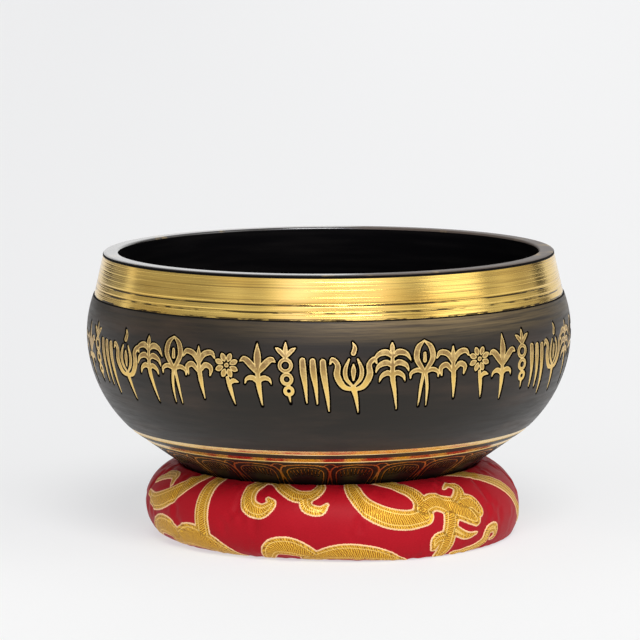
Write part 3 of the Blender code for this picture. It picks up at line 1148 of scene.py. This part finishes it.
def wadding():
    shader = Shader("wadding", Roughness=0.95, Specular_IOR_Level=0.1, Sheen_Weight=0.3)
    lumps = shader.noise(420, 4, 0.7)
    return shader.drive(
        Base_Color=shader.mix(lumps, (0.78, 0.76, 0.7), (0.62, 0.59, 0.52)),
        Normal=shader.bump(lumps, 0.0006, 0.7),
    )


def sewing_thread():
    """Twisted red thread."""
    shader = Shader("sewing_thread", Roughness=0.6, Specular_IOR_Level=0.35, Sheen_Weight=0.3)
    wave = {"Vector": shader.place(), "Scale": 900, "Distortion": 1.5, "Detail": 1}
    twist = shader.add("TexWave", wave, bands_direction="DIAGONAL").outputs["Fac"]
    return shader.drive(
        Base_Color=shader.mix(twist, (0.2, 0.004, 0.008), (0.48, 0.02, 0.03)),
        Normal=shader.bump(twist, 0.0001, 0.6),
    )


def finish_hidden_pieces():
    """The filling and the threads keep the CAD model's shape."""
    thread = sewing_thread()
    pieces = {"cushion_filling": wadding(), "closing_seam_thread": thread, "end_seam_thread": thread}
    for node, material in pieces.items():
        mesh = bpy.data.objects[node].data
        mesh.materials.clear()
        mesh.materials.append(material)
        mesh.shade_smooth()


# ---- stage


def build_stage():
    """A sheet of white paper, lit a little from below like a light table, so that its shadows stay pale. Its
    tint darkens further back, and more at the far left, where shade is painted on.
    """
    glow = {"Emission_Strength": 0.578, "Emission_Color": (0.98, 0.985, 1, 1)}
    shader = Shader("paper", Roughness=0.9, Specular_IOR_Level=0.2, **glow)
    grain = shader.noise(900, 2)
    x, y, _ = shader.position()
    far = shader.step(y, -0.14, 0.12)
    # painted shade: the paper is darker towards the far left
    painted_shade_far_left = shader.times(shader.step(x, 0.25, -0.35, 0, 0.7), far)
    paper = shader.mix(grain, (0.33, 0.33, 0.318), (0.35, 0.35, 0.338))
    paper = shader.mix(far, paper, (0.29, 0.29, 0.282))
    paper = shader.mix(painted_shade_far_left, paper, (0.222, 0.222, 0.218))
    shader.drive(Base_Color=paper, Normal=shader.bump(grain, 0.0001, 0.2))
    size = 12
    corners = [(-size, -size, 0), (size, -size, 0), (size, size, 0), (-size, size, 0)]
    floor = add_mesh("paper_floor", corners, [(0, 1, 2, 3)], [shader.material])


STUDIO = (  # brightness of the studio's walls by azimuth in degrees, 0 behind the camera, 90 to its right
    ((-180, 0.9), (-158, 0.75), (-153, 0.06), (-142, 0.03), (-137, 0.26), (-123, 0.36), (-120, 0.9)),
    ((-116, 0.9), (-113, 0.4), (-66, 0.43), (-54, 0.64), (-47, 0.74), (-42, 0.58), (-33, 0.66)),
    ((-24, 1.25), (-14, 1.6), (0, 1.04), (12, 1.2), (24, 1.3), (32, 1.00), (44, 0.5), (56, 0.8)),
    ((68, 0.9), (80, 0.84), (86, 0.46), (98, 0.78), (112, 0.46), (124, 0.5), (127, 0.05)),
    ((135, 0.08), (141, 0.8), (180, 0.9)),
)
STUDIO_SCALE = 2.0  # a colour ramp holds values up to 1
CEILING = 0.2
CEILING_FROM, CEILING_FULL = 0.62, 0.9  # how steeply up it starts and is all there is
COOL_FROM, COOL_FULL, COOL_GAIN = 0.9, 1.5, 1.35  # the brightest walls are windows, in bluer daylight
PAPER_WHITE = (0.87, 0.87, 0.895)


def build_world():
    """A room with pale, uneven walls, a dim ceiling and bright windows. The camera sees plain white."""
    world = bpy.data.worlds.new("studio")
    bpy.context.scene.world = world
    world.use_nodes = True
    room = Nodes(world.node_tree)
    x, y, z = room.position("Generated")
    turn = room.math("DIVIDE", room.math("ARCTAN2", x, room.times(y, -1)), 2 * pi)
    ramp = room.add("ValToRGB", {0: room.math("ADD", turn, 0.5)})
    walls = [wall for row in STUDIO for wall in row]
    stops = ramp.color_ramp.elements
    while len(stops) < len(walls):
        stops.new(0.5)
    for stop, (degrees, value) in zip(stops, walls):
        stop.position = degrees / 360 + 0.5
        stop.color = (*[value / STUDIO_SCALE] * 3, 1)
    bright = room.times(ramp.outputs[0], STUDIO_SCALE)
    bright = room.blend(room.step(z, CEILING_FROM, CEILING_FULL), bright, CEILING)
    blue = room.step(bright, COOL_FROM, COOL_FULL, 1, COOL_GAIN, curve="LINEAR")
    light = room.add("CombineColor", {0: bright, 1: bright, 2: room.times(bright, blue)}).outputs[0]
    seen = room.add("LightPath").outputs["Is Camera Ray"]
    room.put(world.node_tree.nodes["Background"], "Color", room.mix(seen, light, PAPER_WHITE))


def add_sun(name, azimuth, elevation, strength, width):
    """A soft, distant light. Angles are in degrees, and the azimuth runs from the front to the right."""
    lamp = bpy.data.lights.new(name, "SUN")
    lamp.energy = strength
    lamp.angle = radians(width)
    made = bpy.data.objects.new(name, lamp)
    a, e = radians(azimuth), radians(elevation)
    towards = Vector((sin(a) * cos(e), -cos(a) * cos(e), sin(e)))
    made.rotation_mode = "QUATERNION"
    made.rotation_quaternion = towards.to_track_quat("Z", "Y")
    bpy.context.scene.collection.objects.link(made)


def build_camera():
    data = bpy.data.cameras.new("camera")
    data.lens = CAMERA_LENS
    data.sensor_width = 36
    camera = bpy.data.objects.new("camera", data)
    facing = Matrix.Rotation(pi / 2 - CAMERA_PITCH, 4, "X") @ Matrix.Rotation(CAMERA_ROLL, 4, "Z")
    camera.matrix_world = Matrix.Translation((CAMERA_X, -CAMERA_DISTANCE, CAMERA_Z)) @ facing
    bpy.context.scene.collection.objects.link(camera)
    bpy.context.scene.camera = camera


def main():
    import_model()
    bpy.context.scene.view_settings.view_transform = "Standard"
    build_camera()
    build_world()
    build_stage()
    add_sun("key", azimuth=10, elevation=50, strength=2.2, width=28)
    add_sun("side", azimuth=68, elevation=26, strength=0.26, width=34)

    wall = bowl_wall()
    bowl = build_bowl(wall)
    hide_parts("bowl")
    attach(bowl, "bowl")
    frieze = relief_sleeve(
        "frieze_relief", wall, FRIEZE_HEIGHTS, FRIEZE_GRID, draw_frieze, frieze_depth, frieze_metal()
    )
    lotus = relief_sleeve(
        "lotus_relief", wall, LOTUS_HEIGHTS, LOTUS_GRID, draw_lotus, lotus_depth, lotus_metal()
    )
    for sleeve in (frieze, lotus):
        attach(sleeve, "bowl")

    build_cushion()
    finish_hidden_pieces()


main()
